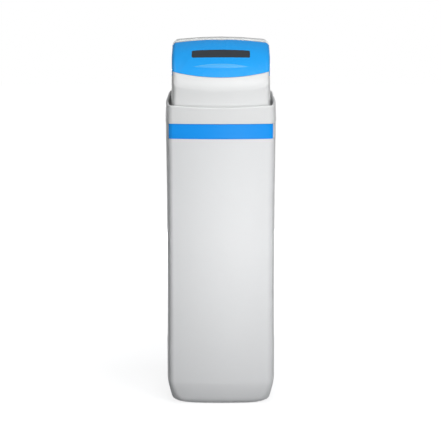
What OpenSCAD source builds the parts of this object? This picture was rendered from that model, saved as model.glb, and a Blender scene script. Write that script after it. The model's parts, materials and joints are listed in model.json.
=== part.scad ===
/* [Cabinet] */
// Outside width at the collar, the widest part
cab_width = 340; // [300:1:400]
// Outside depth of the cabinet
cab_depth = 500; // [450:1:560]
// Wall of the cabinet moulding
cab_wall = 4; // [3:0.5:6]
// Thickness of the cabinet floor
floor_thick = 5; // [4:0.5:10]
// Height of the shoulder that the trim band stands on
shoulder_z = 826; // [760:1:880]
// Height of the upright neck above the shoulder
neck_height = 64; // [50:1:90]
// How far the neck is set in from the collar's face
neck_inset = 6; // [4:0.5:10]
// Rounding between the cabinet's sides and its floor
base_round = 18; // [12:1:30]
// How far the sides draw in above that rounding
base_tuck = 15; // [5:1:20]
// Height at which the sides begin to draw in
tuck_height = 74; // [50:1:95]
// Radius of the bowed front seen from above
front_radius = 900; // [600:10:1500]
// Rounding of the two front corners
front_corner = 24; // [16:1:40]
// Radius of the bow at the front of each side
side_radius = 700; // [400:10:1000]
// Angle by which the sides open out behind the front corners
side_flare = 8; // [2:0.5:12]
// Rounding of the two back corners
back_corner = 40; // [25:1:60]

/* [Trim band] */
// Height of the blue band
band_height = 43; // [30:1:60]
// Width of the blue band across the front
band_width = 314; // [280:1:330]
// Height of the shadow groove under the band
band_groove = 2; // [1:0.5:4]
// How far the band lies behind the collar's face
band_inset = 1; // [0.5:0.25:2]

/* [Collar] */
// Height of the collar's rim over the top of the band, at the front
rim_rise = 49; // [30:1:70]
// Further rise of the rim from the front to the sides
rim_lift = 14; // [0:1:25]
// Thickness of the rim
rim_thick = 7.5; // [5:0.5:12]
// Inward lean of the collar from the band to the rim
collar_lean = 2; // [0:0.5:5]
// Width of the ledge that carries the hood, from the collar's face
ledge_width = 34; // [28:1:40]
// Thickness of that ledge
ledge_thick = 6; // [4:0.5:10]

/* [Hood and lid] */
// Distance from the collar's face to the foot of the hood
hood_inset = 17; // [14:0.5:22]
// Inward lean of the hood from its foot to the lid
hood_lean = 2.5; // [0:0.25:5]
// Wall of the hood
hood_wall = 3; // [2.5:0.25:4]
// Wall of the lid
lid_wall = 3; // [2:0.25:4]
// Height of the crest of the head above the floor
crest_z = 1114.7; // [1080:0.1:1160]
// Distance of the crest behind the middle of the cabinet
crest_y = 23.4; // [0:0.1:60]
// Radius of the lid seen from the side
lid_radius = 312; // [290:1:360]
// Radius of the crown across the head
crown_radius = 1250; // [900:10:2000]
// Slope of the roof behind the crest in degrees
roof_fall = 1.5; // [0:0.1:5]
// Height of the lid's lower edge at the middle of the front
lid_front_z = 1008; // [995:0.5:1020]
// Height of the lid's lower edge at the front corners
lid_corner_z = 1024; // [1010:0.5:1035]
// Height of the lid's lower edge along the sides
lid_side_z = 1011; // [1000:0.5:1020]
// Distance of the lid's rear edge from the middle of the cabinet
lid_rear_y = -20; // [-40:1:0]
// Gap along the lower edge of the lid
lid_gap = 0.8; // [0.5:0.1:1.5]
// Gap between the lid and the dome under it
dome_gap = 1.3; // [0.6:0.1:2]
// Distance of the fixed rear deck's front edge behind the middle of the cabinet
deck_y = 38; // [36:1:60]
// Rounding of the head's two upright front corners
head_corner = 16; // [8:1:22]
// Rounding of the head's top edge over those corners
corner_round = 12; // [6:1:16]
// Rounding along the sides of the head
side_round = 12; // [8:0.5:16]
// Rounding along the front and back of the head
front_round = 21; // [14:0.5:30]

/* [Lid window and hinge] */
// Width of the smoked pane in the lid
pane_width = 178; // [150:1:200]
// Distance of the pane's front edge from the middle of the cabinet
pane_front_y = -146; // [-155:1:-140]
// Distance of the pane's rear edge from the middle of the cabinet
pane_rear_y = -107; // [-120:1:-105]
// Rounding of the window's corners
pane_round = 4; // [2:0.5:8]
// How far the window's front edge bows forward
pane_bow = 3.4; // [0:0.2:6]
// Width of the hidden flange round the pane
pane_flange = 5; // [3:0.5:8]
// Length of the finger ridge across the lid
ridge_length = 172; // [140:1:190]
// Width of the finger ridge at its middle
ridge_width = 14; // [10:0.5:18]
// Height of the finger ridge
ridge_height = 3.6; // [1.5:0.1:5]
// Distance of the finger ridge from the middle of the cabinet
ridge_y = -178; // [-185:1:-170]
// Distance of the hinge line behind the middle of the cabinet
hinge_y = 7; // [4:0.5:15]
// Height of the hinge line
hinge_z = 1086; // [1080:0.5:1090]
// Diameter of the hinge pins
hinge_pin_d = 6; // [4:0.5:8]
// Running clearance round each pin
pin_fit = 0.06; // [0.03:0.01:0.1]
// Width of the salt mouth under the lid
mouth_width = 256; // [220:1:260]
// Distance of the salt mouth's front edge from the middle of the cabinet
mouth_front_y = -203; // [-206:1:-190]
// Distance of the salt mouth's rear edge from the middle of the cabinet
mouth_rear_y = -45; // [-60:1:-40]

/* [Pressure tank] */
// Diameter of the tank
tank_d = 257; // [200:1:257]
// Height of the tank with its neck
tank_height = 889; // [850:1:900]
// Distance of the tank's axis behind the middle of the cabinet
tank_y = 90; // [80:1:100]
// Wall of the tank
tank_wall = 4; // [3:0.5:6]
// Height of each domed end
tank_dome = 70; // [50:1:90]
// Outside diameter of the neck
tank_neck_d = 84; // [76:1:90]
// Bore of the neck
tank_bore_d = 63; // [60:0.5:66]
// Thickness of the base of the tank's boot
boot_base = 3; // [2:0.5:6]
// Height of the tank's boot
boot_height = 70; // [50:1:100]
// Height of the resin over the tank's floor
resin_height = 560; // [400:10:640]
// Outside diameter of the riser tube
riser_d = 26.7; // [20:0.1:32]

/* [Control valve] */
// Height of the piston's axis over the tank's neck
piston_rise = 65; // [58:1:70]
// Diameter of the piston
piston_d = 38; // [30:1:42]
// Diameter of the piston rod
rod_d = 10; // [8:0.5:12]
// Travel of the piston
piston_stroke = 36; // [24:1:38]
// Outside diameter of the seal stack
stack_d = 52; // [46:1:56]
// Outside diameter of the valve barrel
barrel_d = 72; // [66:1:80]
// Running clearance of rod, piston and shafts
shaft_fit = 0.06; // [0.03:0.01:0.1]
// Teeth on the drive gear
gear_teeth = 72; // [60:12:84]
// Teeth on the motor pinion
pinion_teeth = 12; // [12:1:16]
// Module of both gears
gear_module = 1; // [0.8:0.1:1.2]
// Distance between the two water ports
port_pitch = 70; // [60:1:80]
// Bore of the water ports
port_bore_d = 25; // [20:0.5:28]
// Outside diameter of the threaded connectors
connector_d = 33.25; // [26:0.05:42]
// Outside diameter of the drain's hose tail
drain_d = 16; // [12:0.5:20]
// Length of the drain's hose tail
drain_tail = 22; // [16:1:30]
// Width of the control cover
cover_width = 190; // [170:1:200]
// Wall of the control cover
cover_wall = 2.5; // [2:0.25:3.5]
// Diameter of the push buttons
button_d = 12; // [9:0.5:14]
// Distance between the push buttons
button_pitch = 30; // [24:1:36]
// Clearance round each button
button_fit = 0.3; // [0.2:0.05:0.5]

/* [Brine side] */
// Outside diameter of the brine well
well_d = 100; // [80:1:104]
// Height of the top of the brine well
well_top = 830; // [760:1:850]
// Distance of the well's axis from the cabinet's side
well_side = 90; // [86:1:100]
// Space between the brine well and the pressure tank
well_gap = 23; // [18:0.5:30]
// Space between the brine tube and the pressure tank
tube_gap = 6.5; // [5:0.5:10]
// Diameter of the brine tube
brine_tube_d = 9.5; // [6:0.5:12]
// Height of the salt grid
grid_z = 100; // [60:1:160]
// Thickness of the salt grid
grid_thick = 4; // [3:0.5:6]
// Height of the overflow
overflow_z = 700; // [600:1:720]
// Distance of the overflow from the cabinet's left side
overflow_side = 70; // [55:1:100]
// Outside diameter of the overflow spigot
overflow_d = 22; // [16:1:26]
// Length of the overflow's hose tail
overflow_tail = 24; // [16:1:30]

/* [Hidden] */
$fn = 64;
half_w = cab_width / 2;
front_y = -cab_depth / 2;
back_y = cab_depth / 2;
arc_centre = [crest_y, crest_z - lid_radius];

// Places along half of the plan outline: [kind, share]
front_steps = 5;
corner_steps = 4;
bow_steps = 2;
side_steps = 5;
back_steps = 2;
half_places = concat(
    [for (i = [0:front_steps]) [0, i / front_steps]],
    [for (i = [1:corner_steps]) [1, i / corner_steps]],
    [for (i = [1:bow_steps]) [2, i / bow_steps]],
    [for (i = [1:side_steps]) [3, i / side_steps]],
    [for (i = [1:corner_steps]) [4, i / corner_steps]],
    [for (i = [1:back_steps]) [5, i / back_steps]]);
half_count = len(half_places);
count = 2 * half_count - 2;
places = [for (i = [0:count - 1])
    i < half_count ? [half_places[i][0], half_places[i][1], 1]
    : [half_places[2 * half_count - 2 - i][0], half_places[2 * half_count - 2 - i][1], -1]];

// A point of the plan outline moved in by t, with its own front corners if corner is given
function outline_point(place, t, corner = 0) =
    let (k = place[0], s = place[1],
         rf = front_radius - t,
         rc = corner > 0 ? corner : max(front_corner - t, 2),
         rs = side_radius - t,
         rb = max(back_corner - t, 2),
         h = half_w - t,
         cx = h - rs * (1 - cos(side_flare)) - rc * cos(side_flare),
         a = -acos(cx / (rf - rc)),
         c1 = [0, front_y + front_radius],
         c2 = c1 + (rf - rc) * [cos(a), sin(a)],
         c3 = c2 + (rc - rs) * [cos(side_flare), -sin(side_flare)],
         c4 = [h - rb, back_y - t - rb],
         p = k == 0 ? c1 + rf * [sin(s * (90 + a)), -cos(s * (90 + a))]
           : k == 1 ? c2 + rc * [cos(a + s * (-side_flare - a)), sin(a + s * (-side_flare - a))]
           : k == 2 ? c3 + rs * [cos(side_flare * (1 - s)), -sin(side_flare * (1 - s))]
           : k == 3 ? [h, c3[1] + s * (c4[1] - c3[1])]
           : k == 4 ? c4 + rb * [cos(90 * s), sin(90 * s)]
           : [c4[0] * (1 - s), back_y - t])
    [place[2] * p[0], p[1]];

// A level ring of the outline
function ring(t, z) = [for (q = places) let (p = outline_point(q, t)) [p[0], p[1], z]];

// A skin through a list of rings, closed at both ends by fans
module loft(rings, caps = true) {
    m = len(rings);
    n = len(rings[0]);
    first = [for (j = [0:2]) let (s = [for (p = rings[0]) p[j]]) s * [for (p = s) 1] / n];
    last = [for (j = [0:2]) let (s = [for (p = rings[m - 1]) p[j]]) s * [for (p = s) 1] / n];
    points = concat([for (r = rings) each r], caps ? [first, last] : []);
    rows = caps ? m - 2 : m - 1;
    faces = concat(
        [for (k = [0:rows], i = [0:n - 1])
            let (a = k * n + i, b = k * n + (i + 1) % n,
                 c = ((k + 1) % m) * n + (i + 1) % n, d = ((k + 1) % m) * n + i)
            each i < n / 2 ? [[a, c, b], [a, d, c]] : [[a, d, b], [b, d, c]]],
        caps ? [for (i = [0:n - 1]) [m * n, i, (i + 1) % n]] : [],
        caps ? [for (i = [0:n - 1]) [m * n + 1, (m - 1) * n + (i + 1) % n, (m - 1) * n + i]] : []);
    polyhedron(points, faces, 4);
}

band_z = shoulder_z + band_groove;
band_top = band_z + band_height;
rim_z = band_top + rim_rise;
neck_top = shoulder_z + neck_height;
ledge_top = neck_top + ledge_thick;

// Outside line of the cabinet: [set-in, height]
base_inset = 2.2;
body_line = [[base_inset, 100], [base_inset, 185], [3.2, 200], [4, 350], [4, 520],
    [3.4, 640], [2.4, 740], [1.4, shoulder_z]];

// The sides draw in toward the floor and the front corners widen as they do
corner_growth = 1.4;
function tuck(z) = base_tuck * pow(max(0, 1 - z / tuck_height), 1.5);
function base_ring(k, t, z) =
    let (corner = max(2, front_corner - base_inset + corner_growth * k - t))
    [for (q = places) let (p = outline_point(q, base_inset + k + t, corner)) [p[0], p[1], z]];
function foot_rings(t, r, z0, angles) = [for (a = angles)
    let (z = z0 + r * (1 - cos(a))) base_ring(tuck(z) + r * (1 - sin(a)), t, z)];
function tuck_rings(t, shares) = [for (s = shares)
    let (z = base_round + s * (tuck_height - base_round)) base_ring(tuck(z), t, z)];

module cabinet() {
    inner = base_round - cab_wall;
    color([0.88, 0.89, 0.9])
    difference() {
        loft(concat(
            foot_rings(0, base_round, 0, [0:18:90]),
            tuck_rings(0, [0.15:0.17:1]),
            [for (q = body_line) ring(q[0], q[1])],
            [ring(neck_inset, shoulder_z), ring(neck_inset, neck_top), ring(neck_inset + cab_wall, neck_top)],
            [ring(neck_inset + cab_wall, shoulder_z - cab_wall)],
            [for (i = [6, 4, 2, 0]) ring(body_line[i][0] + cab_wall, body_line[i][1])],
            tuck_rings(cab_wall, [1:-0.25:0.25]),
            foot_rings(cab_wall, inner, floor_thick, [90:-30:0])
        ));
        bar_y(overflow_r, back_y - 20, back_y + 20, overflow_x, overflow_z);
    }
}

// The ring round the neck: its front is blue, the rest is white
band_gap = 0.3;
module band_loft() {
    fit = 0.2;
    back = neck_inset - fit;
    loft([
        ring(back, shoulder_z), ring(3, shoulder_z), ring(3, band_z), ring(band_inset + 0.8, band_z),
        ring(band_inset, band_z + 0.8), ring(band_inset, band_top - 0.8), ring(band_inset + 0.8, band_top),
        ring(back, band_top)], caps = false);
}
module band_front(gap) {
    translate([-band_width / 2 - gap, front_y - 5, shoulder_z - 5])
        cube([band_width + 2 * gap, cab_depth / 2, band_height + 20]);
}
module trim_band() {
    color([0.12, 0.5, 0.9])
    intersection() {
        band_loft();
        band_front(0);
    }
}
module trim_ring() {
    color([0.93, 0.94, 0.95])
    difference() {
        band_loft();
        band_front(band_gap);
    }
}

// Height of the rim over a place of the outline
function rim_height(p) =
    let (s = min(1, max(0, (p[1] - front_y - 15) / 85)))
    rim_z + rim_lift * (0.55 * pow(p[0] / half_w, 2) + 0.45 * s * s * (3 - 2 * s));
function rim_ring(t, drop) = [for (q = places)
    let (p = outline_point(q, t)) [p[0], p[1], rim_height(p) - drop]];

module collar() {
    fit = 0.2;
    low = band_top + 0.6;
    half = rim_thick / 2;
    color([0.93, 0.94, 0.95])
    difference() {
        loft(concat(
            [ring(neck_inset - fit, low), ring(0.8, low), ring(0, low + 0.8)],
            [for (a = [0:30:180]) rim_ring(collar_lean + half * (1 - cos(a)), half * (1 - sin(a)))],
            [ring(collar_lean + rim_thick, ledge_top + 2), ring(collar_lean + rim_thick + 2, ledge_top),
             ring(ledge_width, ledge_top), ring(ledge_width, neck_top), ring(neck_inset - fit, neck_top)]
        ), caps = false);
        for (p = screw_places)
            bar_z(shank_r, neck_top - 1, ledge_top + 1, p[0], p[1]);
    }
}

// Outside of the head: roof height and its steepness
function roof_height(p) =
    (p[1] < crest_y ? arc_centre[1] + sqrt(pow(lid_radius, 2) - pow(p[1] - crest_y, 2))
     : crest_z - (p[1] - crest_y) * tan(roof_fall)) - p[0] * p[0] / (2 * crown_radius);
function roof_steep(p) = p[1] < crest_y ? sqrt(1 - pow((crest_y - p[1]) / lid_radius, 2)) : cos(roof_fall);
function roof_under(p, t) = roof_height(p) - t / roof_steep(p);
head_inset = hood_inset + hood_lean;
head_foot = ledge_top;
function head_lean(z) = hood_inset + hood_lean * min(1, max(0, (z - head_foot) / (lid_side_z - head_foot)));
function edge_round(q, t) =
    let (k = q[0], s = q[1],
         r = k == 0 ? front_round + (corner_round - front_round) * pow(s, 3)
           : k == 1 ? corner_round
           : k == 2 ? corner_round + (side_round - corner_round) * s
           : k == 3 ? side_round
           : k == 4 ? side_round + (front_round - side_round) * s
           : front_round)
    max(r - t, 3);
function head_point(q, set_in, t) = outline_point(q, set_in, max(head_corner - t, 3));

// Rings of the head moved in by t, from the foot up to a share of the roof
wall_shares = [0, 0.5, 1];
round_angles = [18, 36, 54, 72, 90];
roof_shares = [0.91, 0.82, 0.72, 0.61, 0.48, 0.32, 0.15];
function wall_ring(t, foot, u) = [for (q = places)
    let (p = head_point(q, head_inset + t, t),
         top = roof_under(p, t) - edge_round(q, t),
         z = foot + u * (top - foot),
         w = head_point(q, head_lean(z) + t, t))
    [w[0], w[1], z]];
function round_ring(t, a) = [for (q = places)
    let (r = edge_round(q, t),
         p = head_point(q, head_inset + t + r * (1 - cos(a)), t))
    [p[0], p[1], roof_under(p, t) - r * (1 - sin(a))]];
function roof_ring(t, s) = [for (q = places)
    let (e = head_point(q, head_inset + t + edge_round(q, t), t),
         p = [0, -10] + s * (e - [0, -10]))
    [p[0], p[1], roof_under(p, t)]];
function head_rings(t, foot, shares) = concat(
    [for (u = wall_shares) wall_ring(t, foot, u)],
    [for (a = round_angles) round_ring(t, a)],
    [for (s = shares) roof_ring(t, s)]);
function reversed(v) = [for (i = [len(v) - 1:-1:0]) v[i]];

module head_shell(outer, inner, foot) {
    loft(concat(reversed(head_rings(inner, foot, roof_shares)), head_rings(outer, foot, roof_shares)));
}

// Front view of everything above the lid's lower edge
tip_x = half_w - head_inset - 5;
smile = lid_corner_z - lid_front_z;
smile_radius = (pow(tip_x, 2) + pow(smile, 2)) / (2 * smile);
above = 200;
module above_parting(shift, y0, y1) {
    translate([0, y1, shift])
    rotate([90, 0, 0])
    linear_extrude(y1 - y0)
    union() {
        intersection() {
            translate([-tip_x, lid_front_z - 1]) square([2 * tip_x, above]);
            union() {
                translate([0, lid_front_z + smile_radius]) circle(smile_radius);
                translate([-tip_x, lid_corner_z]) square([2 * tip_x, above]);
            }
        }
        for (m = [-1, 1])
            translate([m * (tip_x + 25) - 25, lid_side_z]) square([50, above]);
    }
}
// The same behind the front, where the lower edge is level
module above_side(shift, y0, y1) {
    translate([-half_w, y0, lid_side_z + shift]) cube([2 * half_w, y1 - y0, above]);
}

// Round bars along the three axes
module bar_x(r, x0, x1, y, z) {
    translate([min(x0, x1), y, z]) rotate([0, 90, 0]) cylinder(r = r, h = abs(x1 - x0));
}
module bar_y(r, y0, y1, x, z) {
    translate([x, max(y0, y1), z]) rotate([90, 0, 0]) cylinder(r = r, h = abs(y1 - y0));
}
module bar_z(r, z0, z1, x, y) {
    translate([x, y, min(z0, z1)]) cylinder(r = r, h = abs(z1 - z0));
}
module rounded(w, h, r) {
    square([w - 2 * r, h], center = true);
    square([w, h - 2 * r], center = true);
    for (i = [-1, 1], j = [-1, 1])
        translate([i * (w / 2 - r), j * (h / 2 - r)]) circle(r);
}
// A rounded plate that faces the front, from y0 to y1
module plate_y(w, h, r, y0, y1, x, z) {
    translate([x, y1, z]) rotate([90, 0, 0]) linear_extrude(y1 - y0) rounded(w, h, r);
}

head_x = half_w - head_inset;
dome_out = lid_wall + dome_gap;
dome_in = dome_out + hood_wall;
ear_r = hinge_pin_d / 2 + 5.5;
flange_in = ledge_width - 1;
screw_x = half_w - hood_inset - 10;
screw_places = [[-screw_x, -100], [screw_x, -100], [-screw_x, 150], [screw_x, 150]];
shank_r = 2;
port_z = floor_thick + boot_base + tank_height + piston_rise;
hood_back_y = back_y - head_lean(port_z);

// A curved patch of the lid between two depths, over a grid of points
patch_cols = 12;
patch_rows = 4;
module lid_patch(w, y0, y1, outer, inner) {
    n = patch_cols + 1;
    m = (patch_cols + 1) * (patch_rows + 1);
    function spot(i, j, t) =
        let (p = [-w / 2 + w * i / patch_cols, y0 + (y1 - y0) * j / patch_rows])
        [p[0], p[1], roof_under(p, t)];
    points = concat(
        [for (j = [0:patch_rows], i = [0:patch_cols]) spot(i, j, outer)],
        [for (j = [0:patch_rows], i = [0:patch_cols]) spot(i, j, inner)]);
    faces = concat(
        [for (j = [0:patch_rows - 1], i = [0:patch_cols - 1]) let (a = j * n + i)
            each [[a, a + n, a + 1], [a + 1, a + n, a + n + 1],
                  [m + a, m + a + 1, m + a + n], [m + a + 1, m + a + n + 1, m + a + n]]],
        [for (i = [0:patch_cols - 1]) let (a = i, b = patch_rows * n + i)
            each [[a, a + 1, m + a + 1], [a, m + a + 1, m + a],
                  [b, m + b + 1, b + 1], [b, m + b, m + b + 1]]],
        [for (j = [0:patch_rows - 1]) let (a = j * n, b = j * n + patch_cols)
            each [[a, m + a + n, a + n], [a, m + a, m + a + n],
                  [b, b + n, m + b + n], [b, m + b + n, m + b]]]);
    polyhedron(points, faces, 4);
}
// Plan of the window: straight at the back, bowed at the front
function pane_half(grow, r) =
    let (w = pane_width / 2 + grow,
         y0 = pane_front_y - grow,
         y1 = pane_rear_y + grow)
    concat(
        [for (i = [0:6]) let (x = (w - r) * i / 6) [x, y0 + pane_bow * pow(x / w, 2)]],
        [for (a = [-60:30:0]) [w - r + r * cos(a), y0 + pane_bow + r + r * sin(a)]],
        [for (a = [0:30:90]) [w - r + r * cos(a), y1 - r + r * sin(a)]]);
module pane_prism(grow, r) {
    right = pane_half(grow, r);
    left = [for (i = [len(right) - 1:-1:1]) [-right[i][0], right[i][1]]];
    translate([0, 0, 1000]) linear_extrude(150) polygon(concat(right, left));
}

// Finger ridge: a spindle that follows the lid
ridge_steps = 14;
module ridge() {
    rings = [for (i = [0:ridge_steps])
        let (s = -1 + 2 * i / ridge_steps,
             x = s * ridge_length / 2,
             k = max(1 - s * s, 0.04),
             p = [x, ridge_y],
             z = roof_under(p, 0.8),
             slope = asin((crest_y - ridge_y) / lid_radius))
        [for (a = [0:45:315])
            let (u = k * ridge_width / 2 * cos(a), v = (a > 180 ? 0.8 : k * ridge_height + 0.8) * sin(a))
            [x, ridge_y + u * cos(slope) - v * sin(slope), z + u * sin(slope) + v * cos(slope)]]];
    loft(rings);
}

module lid() {
    color([0.15, 0.6, 0.98])
    difference() {
        union() {
            intersection() {
                head_shell(0, lid_wall, lid_side_z - 60);
                above_parting(lid_gap / 2, front_y, lid_rear_y);
            }
            ridge();
            for (m = [-1, 1])
                translate([m > 0 ? head_x - lid_wall : -head_x, 0, 0])
                rotate([90, 0, 90])
                linear_extrude(lid_wall)
                union() {
                    translate([hinge_y, hinge_z]) circle(ear_r);
                    translate([lid_rear_y - 6, hinge_z - ear_r])
                        square([hinge_y - lid_rear_y + 6, 2 * ear_r]);
                }
        }
        pane_prism(0, pane_round);
        bar_x(hinge_pin_d / 2 + pin_fit, -half_w, half_w, hinge_y, hinge_z);
    }
}

pane_fit = 0.2;
module lid_window() {
    color([0.2, 0.21, 0.22])
    union() {
        intersection() {
            lid_patch(pane_width, pane_front_y, pane_rear_y, 0.4, lid_wall + 1.4);
            pane_prism(-pane_fit, pane_round - pane_fit);
        }
        intersection() {
            lid_patch(pane_width + 2 * pane_flange, pane_front_y - pane_flange, pane_rear_y + pane_flange,
                lid_wall + 0.9, lid_wall + 2.4);
            pane_prism(pane_flange, pane_round);
        }
    }
}

module hinge_pins() {
    color([0.75, 0.76, 0.78])
    for (m = [-1, 1])
        bar_x(hinge_pin_d / 2, m * (head_x - dome_in - 7), m * head_x, hinge_y, hinge_z);
}

side_boss = 52;
drain_boss = side_boss + 6;
drain_x = drain_boss + 22;
drain_r = drain_d / 2;
back_slot_w = 2 * (drain_x + drain_r + 10);
back_slot_h = connector_d + 14;
grommet_x = 100;
grommet_z = port_z + 38;
grommet_r = 7;
module hood() {
    color([0.93, 0.94, 0.95])
    difference() {
        union() {
            difference() {
                head_shell(0, dome_out + 0.5, head_foot);
                above_parting(-lid_gap / 2, front_y - 1, lid_rear_y);
                above_side(-lid_gap / 2, lid_rear_y - 1, deck_y);
            }
            difference() {
                head_shell(dome_out, dome_in, head_foot + 44);
                translate([-mouth_width / 2, mouth_front_y, head_foot])
                    cube([mouth_width, mouth_rear_y - mouth_front_y, crest_z]);
            }
            hood_flange();
            for (m = [-1, 1])
                bar_x(hinge_pin_d / 2 + 5, m * (head_x - dome_in - 7), m * (head_x - dome_in + 1),
                    hinge_y, hinge_z);
        }
        bar_x(hinge_pin_d / 2, -half_w, half_w, hinge_y, hinge_z);
        plate_y(back_slot_w, back_slot_h, 12, hood_back_y - 20, back_y, 0, port_z);
        bar_y(grommet_r, hood_back_y - 20, back_y, grommet_x, grommet_z);
        for (p = screw_places)
            bar_z(shank_r + 0.4, head_foot - 1, head_foot + 10, p[0], p[1]);
    }
}
module hood_flange() {
    linear_extrude_ring(hood_inset + 2, flange_in, head_foot, hood_wall);
}
// A flat ring between two set-in outlines
module linear_extrude_ring(t0, t1, z, h) {
    translate([0, 0, z])
    linear_extrude(h)
    difference() {
        polygon([for (q = places) head_point(q, t0, 2)]);
        polygon([for (q = places) outline_point(q, t1)]);
    }
}

module hood_screws() {
    color([0.7, 0.71, 0.73])
    for (p = screw_places) {
        bar_z(shank_r, neck_top - 6, head_foot + hood_wall, p[0], p[1]);
        bar_z(4, head_foot + hood_wall, head_foot + hood_wall + 3, p[0], p[1]);
    }
}

module cable_grommet() {
    color([0.15, 0.15, 0.16])
    difference() {
        union() {
            bar_y(grommet_r, hood_back_y - 9, hood_back_y + 2, grommet_x, grommet_z);
            bar_y(grommet_r + 3, hood_back_y + 0.2, hood_back_y + 2.5, grommet_x, grommet_z);
        }
        bar_y(3.5, hood_back_y - 10, hood_back_y + 4, grommet_x, grommet_z);
    }
}

// Tank
tank_r = tank_d / 2;
tank_z = floor_thick + boot_base;
neck_z = tank_z + tank_height;
neck_len = 30;
function tank_line(w) = concat(
    [for (a = [-90:15:0]) [max((tank_r - w) * cos(a), 0), tank_z + tank_dome + (tank_dome - w) * sin(a)]],
    [for (a = [0:15:60]) [(tank_r - w) * cos(a), neck_z - neck_len - tank_dome + (tank_dome - w) * sin(a)]],
    [[tank_neck_d / 2 - w, neck_z - neck_len - w], [0, neck_z - neck_len - w]]);
module tank_space(w) {
    translate([0, tank_y, 0]) rotate_extrude() polygon(tank_line(w));
}
module pressure_tank() {
    color([0.2, 0.3, 0.45])
    difference() {
        union() {
            tank_space(0);
            bar_z(tank_neck_d / 2, neck_z - neck_len - 6, neck_z, 0, tank_y);
        }
        tank_space(tank_wall);
        bar_z(tank_bore_d / 2, neck_z - neck_len - 20, neck_z + 1, 0, tank_y);
    }
}
boot_gap = 0.3;
module tank_boot() {
    color([0.12, 0.12, 0.13])
    difference() {
        bar_z(tank_r - 6, floor_thick, floor_thick + boot_height - 20, 0, tank_y);
        tank_space(-boot_gap);
        bar_z(tank_r - 40, floor_thick - 1, floor_thick + boot_height, 0, tank_y);
    }
}
riser_r = riser_d / 2;
basket_r = 24;
basket_h = 75;
basket_z = tank_z + tank_wall + 1.8;
module resin_bed() {
    color([0.75, 0.5, 0.2])
    difference() {
        tank_space(tank_wall);
        bar_z(tank_r, tank_z + resin_height, neck_z, 0, tank_y);
        bar_z(riser_r, tank_z, neck_z, 0, tank_y);
        bar_z(basket_r, tank_z, basket_z + basket_h, 0, tank_y);
    }
}
module riser_tube() {
    color([0.9, 0.9, 0.88])
    difference() {
        bar_z(riser_r, basket_z + 15, port_z - 32, 0, tank_y);
        bar_z(riser_r - 2.5, tank_z, port_z, 0, tank_y);
    }
}
module bottom_basket() {
    color([0.85, 0.86, 0.85])
    difference() {
        bar_z(basket_r, basket_z, basket_z + basket_h, 0, tank_y);
        bar_z(riser_r, basket_z + 15, basket_z + 200, 0, tank_y);
        for (k = [0:5], a = [0:60:300])
            translate([0, tank_y, basket_z + 14 + 10 * k])
            rotate([0, 0, a + 30 * (k % 2)])
            translate([basket_r - 3, -5, 0]) cube([10, 10, 2]);
    }
}
spigot_bore = 24;
module top_basket() {
    color([0.85, 0.86, 0.85])
    difference() {
        union() {
            bar_z(spigot_bore, neck_z - 45, neck_z + 8, 0, tank_y);
            bar_z(spigot_bore + 4, neck_z - 60, neck_z - 45, 0, tank_y);
        }
        bar_z(riser_r, neck_z - 61, neck_z + 9, 0, tank_y);
        for (a = [0:45:315])
            translate([0, tank_y, neck_z - 55]) rotate([0, 0, a])
            translate([riser_r + 3, -2, 0]) cube([20, 4, 6]);
    }
}
module tank_o_ring() {
    color([0.1, 0.1, 0.1])
    translate([0, tank_y, neck_z + 1.75])
    rotate_extrude() translate([tank_bore_d / 2 + 5.5, 0]) circle(1.75);
}

// Control valve
barrel_r = barrel_d / 2;
stack_r = stack_d / 2;
port_x = port_pitch / 2;
port_r = port_bore_d / 2;
bracket_y = 24;
bracket_thick = 4;
barrel_front = bracket_y + bracket_thick;
barrel_back = tank_y + 52;
port_face = tank_y + 78;
stack_back = barrel_back - 8;
retainer_thick = 6;
injector_y = 75;
refill_y = 60;
drain_y = 112;
module valve_body() {
    color([0.16, 0.17, 0.18])
    difference() {
        union() {
            bar_z(tank_neck_d / 2 + 4, neck_z, neck_z + 20, 0, tank_y);
            bar_z(tank_bore_d / 2 - 0.15, neck_z - 26, neck_z, 0, tank_y);
            bar_z(barrel_r, neck_z + 20, port_z, 0, tank_y);
            bar_y(barrel_r, barrel_front, barrel_back, 0, port_z);
            for (m = [-1, 1])
                bar_y(port_r + 9, tank_y + 20, port_face, m * port_x, port_z);
            translate([-port_x, tank_y + 34, port_z - 14]) cube([2 * port_x, 30, 28]);
            bar_x(13, -side_boss, 0, injector_y, port_z);
            bar_x(11, 0, side_boss, refill_y, port_z);
            bar_x(11, -drain_boss, 0, drain_y, port_z);
        }
        bar_y(stack_r, barrel_front - 1, stack_back, 0, port_z);
        bar_z(spigot_bore, neck_z - 27, neck_z + 8, 0, tank_y);
        bar_z(riser_r, neck_z, port_z, 0, tank_y);
        translate([0, tank_y, neck_z])
            rotate_extrude() translate([tank_bore_d / 2 + 3.5, -1]) square([4, 4.8]);
        for (m = [-1, 1])
            bar_y(port_r, tank_y + 56, port_face + 1, m * port_x, port_z);
        bar_x(5, -side_boss - 1, -stack_r - 3, injector_y, port_z);
        bar_x(4, stack_r + 3, side_boss + 1, refill_y, port_z);
        bar_x(4, -drain_boss - 1, -port_x - 6, drain_y, port_z);
    }
}
module seal_stack() {
    color([0.3, 0.32, 0.35])
    difference() {
        bar_y(stack_r, barrel_front + retainer_thick, stack_back, 0, port_z);
        bar_y(piston_d / 2 + shaft_fit, barrel_front, stack_back + 1, 0, port_z);
        for (k = [0:4], a = [0:72:288])
            translate([0, barrel_front + retainer_thick + 14 + 18 * k, port_z])
            rotate([0, a, 0])
            cylinder(r = 4.5, h = stack_r + 5);
    }
}
piston_rest = barrel_front + retainer_thick + 10;
piston_len = 46;
rod_reach = 44;
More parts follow.
